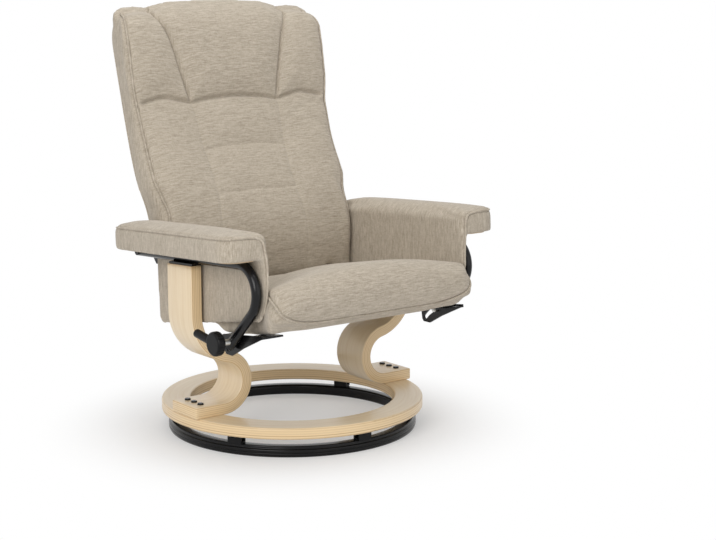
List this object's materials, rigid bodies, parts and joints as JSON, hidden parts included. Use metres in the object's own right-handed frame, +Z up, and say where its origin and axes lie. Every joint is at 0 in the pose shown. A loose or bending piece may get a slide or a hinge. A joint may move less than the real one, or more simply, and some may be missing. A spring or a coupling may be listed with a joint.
{
  "type": "swivel recliner",
  "caption": "Swivel recliner armchair with padded fabric seat, back and arms on bent laminated wooden legs, turning on a wooden ring that rolls on a round floor base.",
  "frame": {"origin": "the point on the floor under the swivel axis", "axes": "+Z up along the swivel axis, -Y the way the chair faces, -X the sitter's right"},
  "size_m": [0.764, 0.691, 0.992],
  "materials": {
    "fabric": "coarse woven beige cloth over foam",
    "birch": "clear satin lacquer",
    "plywood": "raw plywood",
    "black_steel": "satin black powder coat",
    "zinc": "zinc plated",
    "black_plastic": "matt moulded",
    "nylon": "matt moulded"
  },
  "bodies": {
    "floor_base": {"floor_ring": "black_steel", "roller_bracket_1": "black_plastic", "roller_bracket_2": "black_plastic", "roller_bracket_3": "black_plastic", "roller_bracket_4": "black_plastic", "roller_bracket_5": "black_plastic", "roller_bracket_6": "black_plastic"},
    "carriage": {"wood_ring": "birch", "leg_right": "birch", "leg_left": "birch", "track_ring": "zinc", "foot_bolt_right_1": "black_steel", "foot_bolt_right_2": "black_steel", "foot_bolt_right_3": "black_steel", "foot_bolt_left_1": "black_steel", "foot_bolt_left_2": "black_steel", "foot_bolt_left_3": "black_steel", "side_tube_right": "black_steel", "side_tube_left": "black_steel", "tube_cap_rear_right": "black_plastic", "tube_cap_rear_left": "black_plastic", "tube_cap_low_right": "black_plastic", "tube_cap_low_left": "black_plastic", "arm_board_right": "plywood", "arm_board_left": "plywood", "arm_pad_right": "fabric", "arm_pad_left": "fabric", "arm_panel_right": "fabric", "arm_panel_left": "fabric", "back_pivot_right": "zinc", "back_pivot_left": "zinc", "clamp_sleeve": "zinc", "pivot_bolt_left": "zinc", "clamp_nut_right": "zinc", "clamp_nut_left": "zinc"},
    "back": {"back_shell": "plywood", "back_cushion": "fabric", "head_cushion": "fabric", "back_bracket_right": "black_steel", "back_bracket_left": "black_steel", "hinge_pin_right": "zinc", "hinge_pin_left": "zinc"},
    "seat": {"seat_frame": "plywood", "seat_cushion": "fabric", "seat_spring_1": "zinc", "seat_spring_2": "zinc", "seat_spring_3": "zinc", "seat_bracket_right": "black_steel", "seat_bracket_left": "black_steel", "hinge_arm_right": "black_steel", "hinge_arm_left": "black_steel"},
    "lock": {"lock_wheel": "black_plastic", "clamp_screw": "zinc"},
    "roller_1_body": {"roller_1": "nylon"},
    "roller_2_body": {"roller_2": "nylon"},
    "roller_3_body": {"roller_3": "nylon"},
    "roller_4_body": {"roller_4": "nylon"},
    "roller_5_body": {"roller_5": "nylon"},
    "roller_6_body": {"roller_6": "nylon"}
  },
  "joints": [
    {"name": "swivel", "type": "hinge", "parent": "floor_base", "child": "carriage", "pos_m": [0, 0, 0.045], "axis": [0, 0, 1], "continuous": true},
    {"name": "back_recline", "type": "hinge", "parent": "carriage", "child": "back", "pos_m": [0, 0.18, 0.42197], "axis": [-1, 0, 0], "range_deg": [0, 26]},
    {"name": "seat_fold", "type": "hinge", "parent": "back", "child": "seat", "pos_m": [0, 0.145, 0.33], "axis": [-1, 0, 0], "range_deg": [-26, 0]},
    {"name": "lock_turn", "type": "hinge", "parent": "carriage", "child": "lock", "pos_m": [-0.341, -0.19594, 0.27462], "axis": [-1, 0, 0], "range_deg": [0, 90]},
    {"name": "roller_1_spin", "type": "hinge", "parent": "floor_base", "child": "roller_1_body", "pos_m": [-0.00988, -0.28283, 0.0397], "axis": [-0.0349, -0.9994, 0], "continuous": true},
    {"name": "roller_2_spin", "type": "hinge", "parent": "floor_base", "child": "roller_2_body", "pos_m": [0.24, -0.14997, 0.0397], "axis": [0.848, -0.5299, 0], "continuous": true},
    {"name": "roller_3_spin", "type": "hinge", "parent": "floor_base", "child": "roller_3_body", "pos_m": [0.24987, 0.13286, 0.0397], "axis": [0.8829, 0.4695, 0], "continuous": true},
    {"name": "roller_4_spin", "type": "hinge", "parent": "floor_base", "child": "roller_4_body", "pos_m": [0.00988, 0.28283, 0.0397], "axis": [0.0349, 0.9994, 0], "continuous": true},
    {"name": "roller_5_spin", "type": "hinge", "parent": "floor_base", "child": "roller_5_body", "pos_m": [-0.24, 0.14997, 0.0397], "axis": [-0.848, 0.5299, 0], "continuous": true},
    {"name": "roller_6_spin", "type": "hinge", "parent": "floor_base", "child": "roller_6_body", "pos_m": [-0.24987, -0.13286, 0.0397], "axis": [-0.8829, -0.4695, 0], "continuous": true}
  ],
  "couplings": [
    {"joint": "seat_fold", "follows": "back_recline", "ratio": -1},
    {"joint": "roller_1_spin", "follows": "swivel", "ratio": -35.375},
    {"joint": "roller_2_spin", "follows": "swivel", "ratio": -35.375},
    {"joint": "roller_3_spin", "follows": "swivel", "ratio": -35.375},
    {"joint": "roller_4_spin", "follows": "swivel", "ratio": -35.375},
    {"joint": "roller_5_spin", "follows": "swivel", "ratio": -35.375},
    {"joint": "roller_6_spin", "follows": "swivel", "ratio": -35.375}
  ]
}
